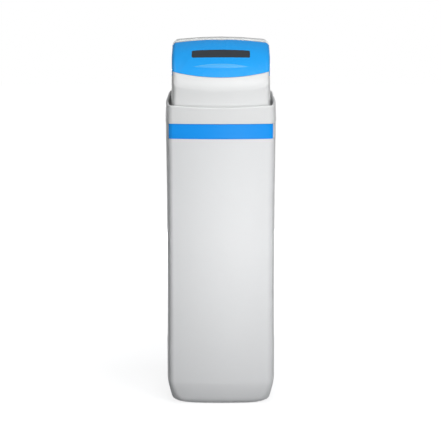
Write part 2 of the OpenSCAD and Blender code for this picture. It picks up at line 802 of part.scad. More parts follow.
module piston() {
    color([0.88, 0.85, 0.75])
    difference() {
        union() {
            bar_y(piston_d / 2, piston_rest, piston_rest + piston_len, 0, port_z);
            bar_y(rod_d / 2, bracket_y - rod_reach, piston_rest + 2, 0, port_z);
        }
        for (y = [12, 28])
            translate([0, piston_rest + y + 4, port_z]) rotate([90, 0, 0])
            difference() {
                cylinder(r = piston_d, h = 8);
                cylinder(r = piston_d / 2 - 5, h = 20, center = true);
            }
    }
}
module piston_retainer() {
    color([0.85, 0.85, 0.83])
    difference() {
        bar_y(stack_r, barrel_front, barrel_front + retainer_thick, 0, port_z);
        bar_y(rod_d / 2 + shaft_fit, barrel_front - 1, barrel_front + 10, 0, port_z);
    }
}

// Drive
gear_r = gear_module * gear_teeth / 2;
pinion_r = gear_module * pinion_teeth / 2;
gear_slack = 0.3;
gear_centres = gear_r + pinion_r + gear_slack;
pinion_x = gear_centres * sin(45);
pinion_z = port_z + gear_centres * cos(45);
gear_y0 = bracket_y - 12;
gear_y1 = bracket_y - 4;
journal_r = 12;
motor_r = 17;
motor_len = 34;
// Outline of a spur gear with narrow straight flanks, a tooth at angle turn
function gear_line(teeth, turn) = let (r = gear_module * teeth / 2, step = 360 / teeth)
    [for (i = [0:teeth - 1], c = [[-0.34, -1.15], [-0.13, 0.85], [0.13, 0.85], [0.34, -1.15]])
        let (a = turn + (i + c[0]) * step, q = r + c[1] * gear_module) [q * cos(a), q * sin(a)]];
module drive_bracket() {
    color([0.25, 0.26, 0.28])
    difference() {
        union() {
            plate_y(cover_width, cover_height, 14, bracket_y, barrel_front, 0, cover_z);
            for (m = [-1, 1])
                bar_y(3.5, gear_y0 - 2, bracket_y + 1,
                    pinion_x - m * 24 * sin(45), pinion_z + m * 24 * cos(45));
        }
        bar_y(journal_r + shaft_fit, bracket_y - 1, barrel_front + 1, 0, port_z);
        bar_y(2 + shaft_fit, bracket_y - 1, barrel_front + 1, pinion_x, pinion_z);
    }
}
module drive_motor() {
    color([0.55, 0.56, 0.58])
    difference() {
        union() {
            bar_y(motor_r, gear_y0 - 4 - motor_len, gear_y0 - 3, pinion_x, pinion_z);
            translate([pinion_x, gear_y0 - 2, pinion_z]) rotate([90, -45, 0])
                linear_extrude(2) rounded(12, 60, 5.5);
        }
        bar_y(2 + shaft_fit, gear_y0 - 16, gear_y0, pinion_x, pinion_z);
    }
}
module motor_pinion() {
    color([0.8, 0.75, 0.5])
    union() {
        translate([pinion_x, gear_y1 - 0.5, pinion_z]) rotate([90, 0, 0])
            linear_extrude(gear_y1 - gear_y0 - 1) polygon(gear_line(pinion_teeth, 225 + 180 / pinion_teeth));
        bar_y(2, gear_y0 - 15, barrel_front - 0.2, pinion_x, pinion_z);
    }
}
module drive_gear() {
    color([0.85, 0.84, 0.8])
    difference() {
        union() {
            translate([0, gear_y1, port_z]) rotate([90, 0, 0])
                linear_extrude(gear_y1 - gear_y0) polygon(gear_line(gear_teeth, 45));
            bar_y(journal_r, gear_y1 - 1, barrel_front - 0.2, 0, port_z);
        }
        bar_y(rod_d / 2 + shaft_fit, gear_y0 - 1, barrel_front + 1, 0, port_z);
        for (a = [0:60:300])
            bar_y(5, gear_y0 - 1, gear_y1 + 1, 23 * sin(a), port_z + 23 * cos(a));
    }
}

// Control cover and panel
cover_bottom = neck_z + 15;
cover_top = crest_z - 30;
cover_height = cover_top - cover_bottom;
cover_z = (cover_top + cover_bottom) / 2;
cover_depth = 60;
cover_front = bracket_y - cover_depth;
display_w = 90;
display_h = 32;
display_z = cover_top - 26;
button_z = display_z - 34;
button_places = [-1.5 * button_pitch, -0.5 * button_pitch, 0.5 * button_pitch, 1.5 * button_pitch];
button_r = button_d / 2;
module valve_cover() {
    color([0.2, 0.21, 0.22])
    difference() {
        plate_y(cover_width, cover_height, 14, cover_front, bracket_y, 0, cover_z);
        plate_y(cover_width - 2 * cover_wall, cover_height - 2 * cover_wall, 11.5,
            cover_front + cover_wall, bracket_y + 1, 0, cover_z);
        plate_y(display_w, display_h, 3, cover_front - 1, cover_front + 10, 0, display_z);
        for (x = button_places)
            bar_y(button_r + button_fit, cover_front - 1, cover_front + 10, x, button_z);
    }
}
module display_lens() {
    color([0.1, 0.12, 0.14])
    union() {
        plate_y(display_w - 0.3, display_h - 0.3, 2.85,
            cover_front, cover_front + cover_wall + 0.5, 0, display_z);
        plate_y(display_w + 6, display_h + 6, 4,
            cover_front + cover_wall, cover_front + cover_wall + 1.5, 0, display_z);
    }
}
board_y = cover_front + cover_wall + 6;
module control_board() {
    color([0.1, 0.4, 0.2])
    union() {
        plate_y(150, 66, 2, board_y, board_y + 1.6, 0, display_z - 12);
        for (x = [-68, 68], z = [-38, 14])
            bar_y(3, cover_front + cover_wall, board_y, x, display_z + z);
        plate_y(display_w - 4, display_h - 4, 1, cover_front + cover_wall + 1.5, board_y, 0, display_z);
    }
}
button_travel = 1.5;
module one_button(x) {
    color([0.85, 0.86, 0.88])
    union() {
        bar_y(button_r, cover_front - 2, cover_front + cover_wall + 1, x, button_z);
        bar_y(button_r + 1.2, cover_front + cover_wall + 0.1, cover_front + cover_wall + 1.6, x, button_z);
        bar_y(2, cover_front + cover_wall + 1, board_y - button_travel - 0.2, x, button_z);
    }
}
module button_set() one_button(button_places[0]);
module button_up() one_button(button_places[1]);
module button_down() one_button(button_places[2]);
module button_regenerate() one_button(button_places[3]);

// Flow meter in the outlet
meter_y = port_face - 8;
module meter_spider() {
    color([0.8, 0.8, 0.78])
    difference() {
        union() {
            difference() {
                bar_y(port_r, meter_y, meter_y + 5, port_x, port_z);
                bar_y(port_r - 1.5, meter_y - 1, meter_y + 6, port_x, port_z);
            }
            for (a = [0:120:240])
                translate([port_x, meter_y + 2.5, port_z]) rotate([0, a, 0]) translate([5.5, 0, 0])
                cube([11.5, 4, 1.6], center = true);
            bar_y(3, meter_y, meter_y + 5, port_x, port_z);
        }
        bar_y(1.2 + shaft_fit, meter_y - 1, meter_y + 6, port_x, port_z);
    }
}
module meter_turbine() {
    color([0.3, 0.5, 0.8])
    union() {
        bar_y(1.2, meter_y - 13, meter_y + 4.5, port_x, port_z);
        bar_y(3, meter_y - 12, meter_y - 0.5, port_x, port_z);
        for (a = [0:60:300])
            translate([port_x, meter_y - 6.5, port_z]) rotate([0, a, 0]) rotate([30, 0, 0])
            translate([port_r / 2, 0, 0]) cube([port_r - 2.5, 9, 1.2], center = true);
    }
}
module injector_cap() {
    color([0.3, 0.3, 0.32])
    union() {
        bar_x(5, -side_boss, -stack_r - 10, injector_y, port_z);
        bar_x(15, -side_boss - 12, -side_boss, injector_y, port_z);
        translate([-side_boss - 12, injector_y, port_z]) rotate([0, -90, 0]) cylinder(r = 8, h = 6, $fn = 6);
    }
}
drain_neck = 12;
module drain_elbow() {
    color([0.3, 0.3, 0.32])
    difference() {
        union() {
            bar_x(drain_r + 1.5, -drain_x, -drain_boss, drain_y, port_z);
            translate([-drain_x, drain_y, port_z]) sphere(drain_r + 1.5);
            bar_y(drain_r + 1.5, drain_y, drain_y + drain_neck, -drain_x, port_z);
            bar_y(drain_r, drain_y, drain_y + drain_neck + drain_tail, -drain_x, port_z);
        }
        bar_y(drain_r - 3, drain_y, drain_y + drain_neck + drain_tail + 1, -drain_x, port_z);
        bar_x(4, -drain_x, -drain_boss + 1, drain_y, port_z);
    }
}
tube_r = brine_tube_d / 2;
refill_x = side_boss + 20;
module brine_elbow() {
    color([0.3, 0.3, 0.32])
    difference() {
        bar_x(9, side_boss, refill_x, refill_y, port_z);
        bar_x(4, side_boss - 1, side_boss + 9, refill_y, port_z);
        bar_x(tube_r, side_boss + 8, refill_x + 1, refill_y, port_z);
    }
}

// Bypass and connectors
bypass_len = 46;
stem_back = 22;
bypass_back = port_face + bypass_len;
bypass_y = port_face + stem_back;
stem_r = 9;
module bypass_body() {
    color([0.16, 0.17, 0.18])
    difference() {
        union() {
            for (m = [-1, 1]) {
                bar_y(port_r + 9, port_face, bypass_back, m * port_x, port_z);
                bar_z(stem_r + 5, port_z, port_z + 26, m * port_x, bypass_y);
            }
            bar_x(15, -port_x, port_x, bypass_y, port_z);
        }
        for (m = [-1, 1]) {
            bar_y(port_r, port_face - 1, bypass_back + 1, m * port_x, port_z);
            bar_z(stem_r + shaft_fit, port_z + port_r + 1, port_z + 27, m * port_x, bypass_y);
        }
        bar_x(9, -port_x, port_x, bypass_y, port_z);
    }
}
module handle(m) {
    color([0.8, 0.15, 0.12])
    union() {
        bar_z(stem_r, port_z + port_r + 2, port_z + 28, m * port_x, bypass_y);
        bar_z(stem_r + 5, port_z + 26.4, port_z + 34, m * port_x, bypass_y);
        translate([m * port_x, bypass_y, port_z + 34])
        linear_extrude(9) rounded(9, 40, 4.4);
    }
}
module inlet_handle() handle(-1);
module outlet_handle() handle(1);
connector_end = back_y + 8;
module connector(m) {
    color([0.2, 0.2, 0.21])
    difference() {
        union() {
            bar_y(connector_d / 2, bypass_back, connector_end, m * port_x, port_z);
            translate([m * port_x, bypass_back + 8, port_z]) rotate([90, 0, 0])
                cylinder(r = port_r + 9.5, h = 8, $fn = 8);
        }
        bar_y(port_r, bypass_back - 1, connector_end + 1, m * port_x, port_z);
    }
}
module inlet_connector() connector(-1);
module outlet_connector() connector(1);

// Brine well
well_r = well_d / 2;
well_x = half_w - well_side;
well_y = tank_y - sqrt(pow(tank_r + well_gap + well_r, 2) - pow(well_x, 2));
well_wall = 2.5;
arm_z = 735;
arm_r = 7;
arm_end = well_y + well_r + 18;
socket_z = arm_z + 18;
module brine_well() {
    color([0.9, 0.9, 0.9])
    difference() {
        bar_z(well_r, floor_thick, well_top, well_x, well_y);
        bar_z(well_r - well_wall, floor_thick + 3, well_top + 1, well_x, well_y);
        bar_y(arm_r + 0.2, well_y, well_y + well_r + 5, well_x, arm_z);
        for (k = [0:3], a = [0:45:315])
            translate([well_x, well_y, floor_thick + 10 + 14 * k]) rotate([0, 0, a + 22.5])
            translate([well_r - 6, -8, 0]) cube([10, 16, 3]);
    }
}
cap_thick = 3;
module brine_well_cap() {
    color([0.2, 0.21, 0.22])
    union() {
        bar_z(well_r + 2, well_top, well_top + cap_thick, well_x, well_y);
        difference() {
            bar_z(well_r - well_wall - 0.3, well_top - 9, well_top + 1, well_x, well_y);
            bar_z(well_r - well_wall - 2.3, well_top - 10, well_top, well_x, well_y);
        }
        bar_z(11, well_top + cap_thick - 1, well_top + cap_thick + 9, well_x, well_y);
    }
}
rod_r = 3;
float_body_r = 21;
float_body_h = 35;
rod_foot = 140;
body_z0 = arm_z - float_body_h;
float_travel = 36;
module float_valve() {
    color([0.85, 0.86, 0.87])
    difference() {
        union() {
            bar_z(float_body_r, body_z0, arm_z + 14, well_x, well_y);
            bar_y(arm_r, well_y, arm_end, well_x, arm_z);
            bar_y(arm_r + 4, well_y + well_r + 0.4, well_y + well_r + 7, well_x, arm_z);
            translate([well_x, arm_end, arm_z]) sphere(arm_r);
            bar_z(arm_r, arm_z, socket_z, well_x, arm_end);
        }
        bar_z(rod_r + shaft_fit, body_z0 - 1, body_z0 + float_travel + 8, well_x, well_y);
        bar_z(tube_r, body_z0 - 1, body_z0 + 12, well_x + 13, well_y);
        bar_z(tube_r, arm_z + 8, socket_z + 1, well_x, arm_end);
    }
}
float_z = 340;
float_h = 90;
float_r = 34;
float_slot = 13;
module float_rod() {
    color([0.8, 0.81, 0.83])
    union() {
        bar_z(rod_r, rod_foot, body_z0 + 4, well_x, well_y);
        bar_z(rod_r + 4, float_z - 3, float_z, well_x, well_y);
        bar_z(rod_r + 4, float_z + float_h, float_z + float_h + 3, well_x, well_y);
        bar_z(rod_r + 3, rod_foot, rod_foot + 6, well_x, well_y);
    }
}
module float() {
    color([0.95, 0.95, 0.93])
    difference() {
        bar_z(float_r, float_z, float_z + float_h, well_x, well_y);
        bar_z(rod_r, float_z - 1, float_z + float_h + 1, well_x, well_y);
        bar_z(tube_r + 2, float_z - 1, float_z + float_h + 1, well_x + float_slot, well_y);
        translate([well_x + float_slot, well_y - tube_r - 2, float_z - 1])
            cube([float_r, 2 * tube_r + 4, float_h + 2]);
    }
}
module pickup_tube() {
    color([0.92, 0.92, 0.9])
    union() {
        difference() {
            bar_z(tube_r, floor_thick + 20, body_z0 + 12, well_x + 13, well_y);
            bar_z(tube_r - 1.6, floor_thick + 19, body_z0 + 13, well_x + 13, well_y);
        }
        difference() {
            bar_z(tube_r + 4, floor_thick + 3, floor_thick + 40, well_x + 13, well_y);
            bar_z(tube_r, floor_thick + 20, floor_thick + 41, well_x + 13, well_y);
            bar_z(tube_r - 1.6, floor_thick + 6, floor_thick + 41, well_x + 13, well_y);
        }
    }
}

// Brine tube from the valve to the float valve
tube_sides = 10;
// Place in front of the tank where the tube passes it
function before_tank(x) = tank_y - sqrt(pow(tank_r + tube_gap + tube_r, 2) - x * x);
tube_route = [
    [side_boss + 9, refill_y, port_z], [refill_x + 14, refill_y, port_z],
    [refill_x + 30, refill_y - 4, port_z - 4],
    [refill_x + 42, refill_y - 18, port_z - 14], [refill_x + 46, refill_y - 38, port_z - 32],
    [refill_x + 40, refill_y - 58, port_z - 58], [refill_x + 26, before_tank(refill_x + 26), port_z - 92],
    [refill_x + 14, before_tank(refill_x + 14), port_z - 124], [well_x + 2, arm_end, port_z - 160],
    [well_x, arm_end, socket_z + 20], [well_x, arm_end, arm_z + 8.5]];
function unit(v) = v / norm(v);
function along(i) = unit(i == 0 ? [1, 0, 0] : i == len(tube_route) - 1 ? [0, 0, -1]
    : unit(tube_route[i + 1] - tube_route[i]) + unit(tube_route[i] - tube_route[i - 1]));
// Each ring's first spoke is the last one's, turned into its own plane
function spokes(i) = i == 0 ? [[0, 0, 1]] : let (past = spokes(i - 1), d = along(i), v = past[i - 1])
    concat(past, [unit(v - (v * d) * d)]);
module brine_tube() {
    frames = spokes(len(tube_route) - 1);
    color([0.93, 0.93, 0.9])
    loft([for (i = [0:len(tube_route) - 1]) let (d = along(i), u = frames[i], v = cross(d, u))
        [for (k = [0:tube_sides - 1]) let (a = 360 * k / tube_sides)
            tube_route[i] + (tube_r - 0.05) * (u * cos(a) + v * sin(a))]]);
}

slot_pitch = 16;
module salt_grid() {
    color([0.8, 0.82, 0.84])
    union() {
        difference() {
            translate([0, 0, grid_z]) linear_extrude(grid_thick)
                polygon([for (q = places) outline_point(q, 10)]);
            bar_z(tank_r + 3, grid_z - 1, grid_z + 10, 0, tank_y);
            bar_z(well_r + 1, grid_z - 1, grid_z + 10, well_x, well_y);
            for (x = [-136:slot_pitch:16])
                translate([x - 3, -150, grid_z - 1]) cube([6, 80, grid_thick + 2]);
            for (x = [-120:slot_pitch:120])
                translate([x - 3, -222, grid_z - 1]) cube([6, 58, grid_thick + 2]);
        }
        for (p = [[-106, -188], [106, -188], [-120, -60], [-110, 194], [110, 194], [0, -157]])
            bar_z(7, floor_thick, grid_z, p[0], p[1]);
    }
}

// Overflow at the back
overflow_x = overflow_side - half_w;
overflow_r = overflow_d / 2;
overflow_face = back_y - lookup(overflow_z, [for (q = body_line) [q[1], q[0]]]) + 0.2;
overflow_out = 20;
overflow_drop = 15;
elbow_r = overflow_r + 1.5;
module overflow_elbow() {
    tail_y = overflow_face + overflow_out;
    color([0.2, 0.21, 0.22])
    difference() {
        union() {
            bar_y(overflow_r, overflow_face - 22, overflow_face + 4, overflow_x, overflow_z);
            bar_y(overflow_r + 6, overflow_face + 2, overflow_face + 6, overflow_x, overflow_z);
            bar_y(elbow_r, overflow_face + 5, tail_y, overflow_x, overflow_z);
            translate([overflow_x, tail_y, overflow_z]) sphere(elbow_r);
            bar_z(elbow_r, overflow_z - overflow_drop, overflow_z, overflow_x, tail_y);
            bar_z(overflow_r, overflow_z - overflow_drop - overflow_tail, overflow_z, overflow_x, tail_y);
        }
        bar_y(overflow_r - 3, overflow_face - 23, tail_y, overflow_x, overflow_z);
        bar_z(overflow_r - 3, overflow_z - overflow_drop - overflow_tail - 1, overflow_z, overflow_x, tail_y);
    }
}
module overflow_gasket() {
    color([0.1, 0.1, 0.1])
    difference() {
        bar_y(overflow_r + 5, overflow_face, overflow_face + 2, overflow_x, overflow_z);
        bar_y(overflow_r, overflow_face - 1, overflow_face + 3, overflow_x, overflow_z);
    }
}
module overflow_nut() {
    color([0.2, 0.21, 0.22])
    difference() {
        translate([overflow_x, overflow_face - cab_wall - 0.5, overflow_z]) rotate([90, 0, 0])
            cylinder(r = overflow_r + 8, h = 8, $fn = 6);
        bar_y(overflow_r, overflow_face - 30, overflow_face, overflow_x, overflow_z);
    }
}

cabinet();
trim_band();
trim_ring();
collar();
hood();
hood_screws();
cable_grommet();
lid();
lid_window();
hinge_pins();
pressure_tank();
tank_boot();
resin_bed();
riser_tube();
bottom_basket();
top_basket();
tank_o_ring();
valve_body();
seal_stack();
piston();
piston_retainer();
drive_bracket();
drive_motor();
motor_pinion();
drive_gear();
valve_cover();
display_lens();
control_board();
button_set();
button_up();
button_down();
button_regenerate();
meter_spider();
meter_turbine();
injector_cap();
drain_elbow();
brine_elbow();
bypass_body();
inlet_handle();
outlet_handle();
inlet_connector();
outlet_connector();
brine_well();
brine_well_cap();
float_valve();
float_rod();
float();
pickup_tube();
brine_tube();
salt_grid();
overflow_elbow();
overflow_gasket();
overflow_nut();
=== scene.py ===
import json
import math

import bpy
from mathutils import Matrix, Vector

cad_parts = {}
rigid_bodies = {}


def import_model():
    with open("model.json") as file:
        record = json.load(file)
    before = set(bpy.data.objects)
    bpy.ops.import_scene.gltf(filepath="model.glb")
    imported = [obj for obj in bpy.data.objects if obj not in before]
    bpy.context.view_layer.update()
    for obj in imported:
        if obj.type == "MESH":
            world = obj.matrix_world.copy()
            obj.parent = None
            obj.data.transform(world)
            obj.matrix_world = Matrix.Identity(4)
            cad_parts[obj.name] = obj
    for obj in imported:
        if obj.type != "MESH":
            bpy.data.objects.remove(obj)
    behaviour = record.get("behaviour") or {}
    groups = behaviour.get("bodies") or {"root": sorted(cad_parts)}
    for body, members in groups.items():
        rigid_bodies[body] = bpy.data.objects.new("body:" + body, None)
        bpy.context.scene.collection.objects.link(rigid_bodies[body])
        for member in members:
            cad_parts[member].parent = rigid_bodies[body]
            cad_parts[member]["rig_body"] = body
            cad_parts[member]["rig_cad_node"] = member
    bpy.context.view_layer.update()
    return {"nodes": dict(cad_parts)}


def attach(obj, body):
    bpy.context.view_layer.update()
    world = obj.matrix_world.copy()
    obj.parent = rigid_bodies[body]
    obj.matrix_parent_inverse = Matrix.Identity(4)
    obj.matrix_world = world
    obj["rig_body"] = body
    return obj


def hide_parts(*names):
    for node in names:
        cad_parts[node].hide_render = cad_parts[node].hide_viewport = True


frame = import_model()
nodes = frame["nodes"]
scene = bpy.context.scene
print("frame loaded:", len(nodes), "nodes")


def linear(code):
    # sRGB hex to the linear colour that the shader sockets take
    parts = [int(code[k:k + 2], 16) / 255 for k in (0, 2, 4)]
    return tuple(c / 12.92 if c <= 0.04045 else ((c + 0.055) / 1.055) ** 2.4 for c in parts) + (1.0,)


def addNode(material, kind, links=None, **settings):
    # one node with its settings; links maps an input to a socket or a plain value
    node = material.node_tree.nodes.new(kind)
    for name, value in settings.items():
        setattr(node, name, value)
    for name, source in (links or {}).items():
        if isinstance(source, bpy.types.NodeSocket):
            material.node_tree.links.new(source, node.inputs[name])
        else:
            node.inputs[name].default_value = source
    return node


def startMaterial(name):
    material = bpy.data.materials.new(name)
    material.use_nodes = True
    material.node_tree.nodes.clear()
    place = addNode(material, "ShaderNodeTexCoord").outputs["Object"]
    return material, place


def closeMaterial(material, shader):
    addNode(material, "ShaderNodeOutputMaterial", {"Surface": shader.outputs[0]})
    return material


def metres(millimetres):
    return millimetres / 1000


def perMetre(millimetres):
    # a texture scale that repeats about once in this many millimetres
    return 1000.0 / millimetres


def seenDirectly(owner):
    # 1 for what the camera, a reflection or a clear piece shows, 0 for the light that falls on things
    path = addNode(owner, "ShaderNodeLightPath").outputs
    seen = addNode(owner, "ShaderNodeMath", {0: path["Is Camera Ray"], 1: path["Is Glossy Ray"]},
                   operation="MAXIMUM")
    seen = addNode(owner, "ShaderNodeMath", {0: seen.outputs[0], 1: path["Is Transmission Ray"]},
                   operation="MAXIMUM")
    return seen.outputs[0]


# camera at the photograph's height and distance, looking slightly down
cameraPlan = {"place": (-0.001, -4.990, 1.370), "pitch": 80.53, "lens": 129.7, "sensor": 36}
bpy.ops.object.select_all(action="DESELECT")
bpy.ops.object.camera_add(location=cameraPlan["place"], rotation=(math.radians(cameraPlan["pitch"]), 0, 0))
camera = bpy.context.object
camera.name = "photoCamera"
camera.data.lens = cameraPlan["lens"]
camera.data.sensor_width = cameraPlan["sensor"]
scene.camera = camera

# soft boxes: place, what they point at, size, watts, and a spread in degrees where one is narrowed
lightPlan = {
    "keyRight": {"place": (1.5, -2.8, 2.0), "aim": (0, -0.1, 0.70), "size": (0.9, 0.8), "power": 38.5},
    "overFront": {"place": (0.2, -2.2, 2.9), "aim": (0, -0.2, 0.80), "size": (0.8, 0.5), "power": 21},
    "overHead": {"place": (0.2, -1.15, 2.7), "aim": (0, -0.15, 1.02), "size": (0.7, 0.4), "power": 5},
    "overBack": {"place": (0.15, -0.5, 2.7), "aim": (0, -0.1, 1.02), "size": (1.0, 0.5), "power": 3.5},
    "lowFront": {"place": (0.28, -1.9, 0.27), "aim": (0, -0.25, 0.62), "size": (0.5, 0.25), "power": 6.5},
    "lowNarrow": {"place": (0.28, -1.9, 0.27), "aim": (0, -0.25, 0.52), "size": (0.5, 0.25), "power": 0.18,
                  "spread": 36},
    "highLeft": {"place": (-0.85, 0.15, 2.5), "aim": (-0.15, 0, 0.92), "size": (0.5, 1.0), "power": 2.4},
    "highRight": {"place": (0.85, 0.15, 2.5), "aim": (0.15, 0, 0.92), "size": (0.5, 1.0), "power": 2.4},
    "behind": {"place": (0, 3.0, 0.5), "aim": (0, 0.2, 0.60), "size": (1.0, 0.7), "power": 56},
}
fullSpread = 180
for name, plan in lightPlan.items():
    towards = Vector(plan["aim"]) - Vector(plan["place"])
    bpy.ops.object.light_add(type="AREA", location=plan["place"],
                             rotation=towards.to_track_quat("-Z", "Y").to_euler())
    lamp = bpy.context.object
    lamp.name = name
    lamp.data.shape = "RECTANGLE"
    lamp.data.size, lamp.data.size_y = plan["size"]
    lamp.data.energy = plan["power"]
    lamp.data.spread = math.radians(plan.get("spread", fullSpread))

# to the camera and in reflections: white with a darker ceiling; as light: a dim even fill
worldPlan = {"fill": 0.08, "tint": "F4F6F8", "ceiling": 0.15, "start": 0.02, "end": 0.20}
pureWhite = (1, 1, 1, 1)
world = bpy.data.worlds.new("paleStudio")
scene.world = world
world.use_nodes = True
world.node_tree.nodes.clear()
dim = addNode(world, "ShaderNodeBackground", {
    "Color": linear(worldPlan["tint"]), "Strength": worldPlan["fill"]})
aim = addNode(world, "ShaderNodeSeparateXYZ", {
    0: addNode(world, "ShaderNodeTexCoord").outputs["Generated"]})
level = addNode(world, "ShaderNodeMapRange", {
    "Value": aim.outputs["Z"], "From Min": worldPlan["start"], "From Max": worldPlan["end"],
    "To Min": 1.0, "To Max": worldPlan["ceiling"]})
bright = addNode(world, "ShaderNodeBackground", {"Color": pureWhite, "Strength": level.outputs[0]})
mixed = addNode(world, "ShaderNodeMixShader", {
    0: seenDirectly(world), 1: dim.outputs[0], 2: bright.outputs[0]})
addNode(world, "ShaderNodeOutputWorld", {"Surface": mixed.outputs[0]})

# floor: pale, white where it is fully lit, and it keeps the shadow
floorPlan = {"size": 24.0, "drop": 0.0005, "glow": 0.86, "near": 0.35, "far": 1.3,
             "tone": "8C8E90", "bounce": "6A6C6E"}
bpy.ops.mesh.primitive_plane_add(size=floorPlan["size"], location=(0, 0, -floorPlan["drop"]))
floor = bpy.context.object
floor.name = "studioFloor"
floorPaint, place = startMaterial("paleStudioFloor")
matt = addNode(floorPaint, "ShaderNodeBsdfDiffuse", {"Color": linear(floorPlan["tone"])})
reach = addNode(floorPaint, "ShaderNodeVectorMath", {0: place}, operation="LENGTH")
level = addNode(floorPaint, "ShaderNodeMapRange", {
    "Value": reach.outputs["Value"], "From Min": floorPlan["near"], "From Max": floorPlan["far"],
    "To Min": floorPlan["glow"], "To Max": 1.0})
glow = addNode(floorPaint, "ShaderNodeEmission", {"Color": pureWhite, "Strength": level.outputs[0]})
shown = addNode(floorPaint, "ShaderNodeAddShader", {0: matt.outputs[0], 1: glow.outputs[0]})
bounce = addNode(floorPaint, "ShaderNodeBsdfDiffuse", {"Color": linear(floorPlan["bounce"])})
closeMaterial(floorPaint, addNode(floorPaint, "ShaderNodeMixShader", {
    0: seenDirectly(floorPaint), 1: bounce.outputs[0], 2: shown.outputs[0]}))
floor.data.materials.append(floorPaint)
print("stage set")


def paintedRidgeHighlight(material, place, colour, highlightLens):
    # painted highlight on the finger ridge: the lens where fingers rest is painted a little paler, most of
    # all along its rear edge
    halfLength, halfWidth = metres(highlightLens["length"]) / 2, metres(highlightLens["width"]) / 2
    spot = addNode(material, "ShaderNodeSeparateXYZ", {0: place}).outputs
    along = addNode(material, "ShaderNodeMath", {0: spot["X"], 1: 1 / halfLength},
                    operation="MULTIPLY").outputs[0]
    bulge = addNode(material, "ShaderNodeMath", {0: along, 1: along}, operation="MULTIPLY").outputs[0]
    left = addNode(material, "ShaderNodeMath", {0: 1.0, 1: bulge},
                   operation="SUBTRACT", use_clamp=True).outputs[0]
    half = addNode(material, "ShaderNodeMath", {0: left, 1: halfWidth}, operation="MULTIPLY").outputs[0]
    offset = addNode(material, "ShaderNodeMath", {0: spot["Y"], 1: metres(highlightLens["y"])},
                     operation="SUBTRACT")
    across = addNode(material, "ShaderNodeMath", {0: offset.outputs[0], 1: half},
                     operation="DIVIDE").outputs[0]
    inside = addNode(material, "ShaderNodeMath", {0: across, 1: 0.0, 2: 1.0}, operation="COMPARE")
    within = addNode(material, "ShaderNodeMath", {0: bulge, 1: 1.0}, operation="LESS_THAN")
    rear = addNode(material, "ShaderNodeMapRange", {
        "Value": across, "From Min": 0.2, "From Max": 0.8, "To Min": 0.4, "To Max": 1.0})
    share = addNode(material, "ShaderNodeMath", {0: inside.outputs[0], 1: rear.outputs[0]},
                    operation="MULTIPLY")
    share = addNode(material, "ShaderNodeMath", {0: share.outputs[0], 1: within.outputs[0]},
                    operation="MULTIPLY")
    return addNode(material, "ShaderNodeMix", {
        0: share.outputs[0], 6: colour.outputs[2], 7: linear(highlightLens["tone"])}, data_type="RGBA")


def mouldedPlastic(name, tones, cloud, grain, depth, roughness, specular, highlightLens=None):
    # injection or blow moulded plastic: a faint drift of tone, and a fine grain that softens its gloss
    sheenSwing = 0.04
    material, place = startMaterial(name)
    first, second = [linear(tone) for tone in tones]
    drift = addNode(material, "ShaderNodeTexNoise", {
        "Vector": place, "Scale": perMetre(cloud), "Detail": 3.0})
    colour = addNode(material, "ShaderNodeMix", {0: drift.outputs["Fac"], 6: first, 7: second},
                     data_type="RGBA")
    fine = addNode(material, "ShaderNodeTexNoise", {
        "Vector": place, "Scale": perMetre(grain), "Detail": 2.0})
    sheen = addNode(material, "ShaderNodeMapRange", {
        "Value": fine.outputs["Fac"], "To Min": roughness - sheenSwing, "To Max": roughness + sheenSwing})
    relief = addNode(material, "ShaderNodeBump", {
        "Height": fine.outputs["Fac"], "Strength": 0.25, "Distance": metres(depth)})
    # painted highlight on the finger ridge, where one is given
    if highlightLens:
        colour = paintedRidgeHighlight(material, place, colour, highlightLens)
    shader = addNode(material, "ShaderNodeBsdfPrincipled", {
        "Base Color": colour.outputs[2], "Roughness": sheen.outputs[0], "Normal": relief.outputs[0],
        "IOR": 1.5, "Specular IOR Level": specular})
    return closeMaterial(material, shader)


def glassFilledPlastic(name, tones, speck):
    # glass filled nylon or PPO: near black with a grey speckle of fibre ends and a dull satin face
    material, place = startMaterial(name)
    ground, fibre = [linear(tone) for tone in tones]
    specks = addNode(material, "ShaderNodeTexVoronoi", {"Vector": place, "Scale": perMetre(speck)})
    edge = addNode(material, "ShaderNodeMapRange", {
        "Value": specks.outputs["Distance"], "From Min": 0.1, "From Max": 0.5})
    colour = addNode(material, "ShaderNodeMix", {0: edge.outputs[0], 6: fibre, 7: ground}, data_type="RGBA")
    sheen = addNode(material, "ShaderNodeMapRange", {
        "Value": edge.outputs[0], "To Min": 0.42, "To Max": 0.56})
    relief = addNode(material, "ShaderNodeBump", {
        "Height": edge.outputs[0], "Strength": 0.2, "Distance": metres(0.08)})
    shader = addNode(material, "ShaderNodeBsdfPrincipled", {
        "Base Color": colour.outputs[2], "Roughness": sheen.outputs[0], "Normal": relief.outputs[0],
        "IOR": 1.55})
    return closeMaterial(material, shader)


def brushedMetal(name, tones, line, roughness, axis):
    # turned or drawn metal: fine lines run round or along it and stretch the highlight
    squeeze = 0.04
    material, place = startMaterial(name)
    first, second = [linear(tone) for tone in tones]
    stretch = [squeeze if letter == axis else 1 for letter in "xyz"]
    drawn = addNode(material, "ShaderNodeMapping", {"Vector": place, "Scale": stretch})
    lines = addNode(material, "ShaderNodeTexNoise", {
        "Vector": drawn.outputs[0], "Scale": perMetre(line), "Detail": 3.0})
    colour = addNode(material, "ShaderNodeMix", {0: lines.outputs["Fac"], 6: first, 7: second},
                     data_type="RGBA")
    sheen = addNode(material, "ShaderNodeMapRange", {
        "Value": lines.outputs["Fac"], "To Min": roughness - 0.07, "To Max": roughness + 0.09})
    shader = addNode(material, "ShaderNodeBsdfPrincipled", {
        "Base Color": colour.outputs[2], "Roughness": sheen.outputs[0], "Metallic": 1.0})
    return closeMaterial(material, shader)


